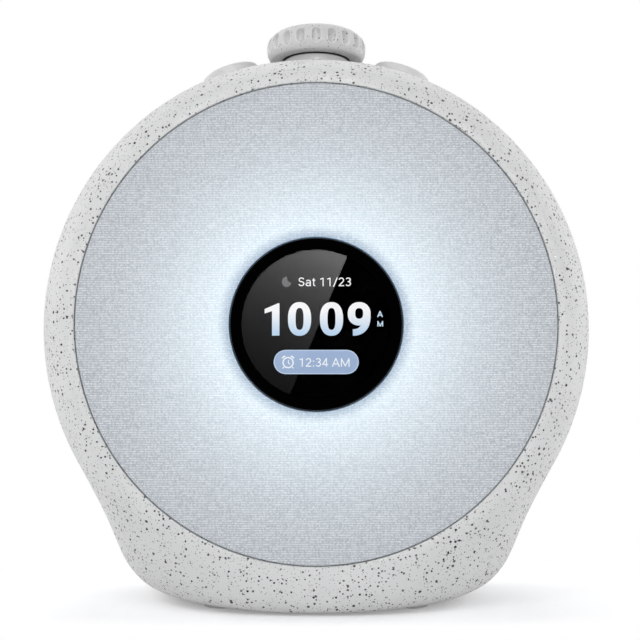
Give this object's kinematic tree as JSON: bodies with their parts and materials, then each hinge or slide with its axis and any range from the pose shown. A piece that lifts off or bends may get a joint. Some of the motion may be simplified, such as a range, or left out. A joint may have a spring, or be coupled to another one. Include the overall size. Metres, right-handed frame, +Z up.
{
  "type": "sunrise alarm clock",
  "caption": "Round bedside light and alarm clock with a flattened foot, glowing fabric face, round display, fluted dial and two top buttons.",
  "frame": {"origin": "on the ground under the middle of the foot", "axes": "+X to the right, the lit face looks towards -Y, +Z up"},
  "size_m": [0.1998, 0.076, 0.2104],
  "materials": {
    "speckled_shell": "matte, speckled",
    "plain_grey": "matte",
    "silicone": "matte",
    "cloth": "fine weave, lit from behind",
    "diffuser": "translucent",
    "white_plastic": "matte",
    "white_board": "solder mask",
    "led": "glossy",
    "dark_glass": "polished",
    "black_plastic": "matte",
    "display": "glossy",
    "steel": "brushed",
    "circuit_board": "solder mask",
    "polyimide": "satin",
    "aluminium": "satin",
    "ferrite": "matte",
    "copper": "enamelled wire",
    "paper": "pressed paper",
    "rubber": "matte",
    "dark_green_plastic": "matte",
    "brass": "satin",
    "lead_sheath": "satin"
  },
  "bodies": {
    "casing": {"front_shell": "speckled_shell", "rear_cover": "speckled_shell", "rear_grille": "plain_grey", "cover_screws": "steel", "foot_pads": "silicone", "fabric_cover": "cloth", "diffuser_disc": "diffuser", "fabric_hoop": "white_plastic", "reflector_bowl": "white_plastic", "face_screws": "steel", "led_board": "white_board", "leds": "led", "led_board_screws": "steel", "display_lens": "dark_glass", "display_cup": "black_plastic", "lcd_panel": "display", "backlight_tray": "steel", "display_board": "circuit_board", "display_retainer": "black_plastic", "display_screws": "steel", "display_ribbon": "polyimide", "main_board": "circuit_board", "processor": "black_plastic", "shield_can": "steel", "board_chips": "black_plastic", "capacitors": "aluminium", "board_connectors": "white_plastic", "main_board_screws": "steel", "coin_cell_holder": "black_plastic", "coin_cell": "steel", "speaker_basket": "black_plastic", "speaker_yoke": "steel", "speaker_magnet": "ferrite", "speaker_top_plate": "steel", "speaker_gasket": "rubber", "speaker_screws": "steel", "power_board": "circuit_board", "usb_c_socket": "steel", "power_board_screws": "steel", "encoder_body": "dark_green_plastic", "encoder_bushing": "steel", "encoder_nut": "steel", "encoder_board": "circuit_board", "dial_collar": "plain_grey", "button_switches": "black_plastic", "button_boards": "circuit_board", "button_board_screws": "steel", "internal_leads": "lead_sheath"},
    "dial_plunger": {"encoder_plunger": "brass"},
    "dial_stack": {"dial": "speckled_shell", "dial_hub": "black_plastic", "encoder_shaft": "aluminium", "encoder_rotor": "white_plastic"},
    "left_push": {"left_button": "plain_grey", "left_switch_plunger": "white_plastic"},
    "right_push": {"right_button": "plain_grey", "right_switch_plunger": "white_plastic"},
    "cone_body": {"speaker_cone": "paper", "voice_coil": "copper", "speaker_surround": "rubber"}
  },
  "joints": [
    {"name": "dial_press", "type": "slide", "parent": "casing", "child": "dial_plunger", "axis": [0, 0, -1], "range_m": [0, 0.0006], "stiffness_N_per_m": 4000, "springref_m": -0.0005},
    {"name": "dial_turn", "type": "hinge", "parent": "dial_plunger", "child": "dial_stack", "pos_m": [0, 0, 0.2], "axis": [0, 0, 1], "continuous": true},
    {"name": "left_press", "type": "slide", "parent": "casing", "child": "left_push", "axis": [0.3156, 0, -0.9489], "range_m": [0, 0.0006], "stiffness_N_per_m": 1500, "springref_m": -0.0005},
    {"name": "right_press", "type": "slide", "parent": "casing", "child": "right_push", "axis": [-0.3156, 0, -0.9489], "range_m": [0, 0.0006], "stiffness_N_per_m": 1500, "springref_m": -0.0005},
    {"name": "cone_travel", "type": "slide", "parent": "casing", "child": "cone_body", "axis": [0, 1, 0], "range_m": [-0.001, 0.001], "stiffness_N_per_m": 1500, "deforming": ["speaker_surround"]}
  ]
}
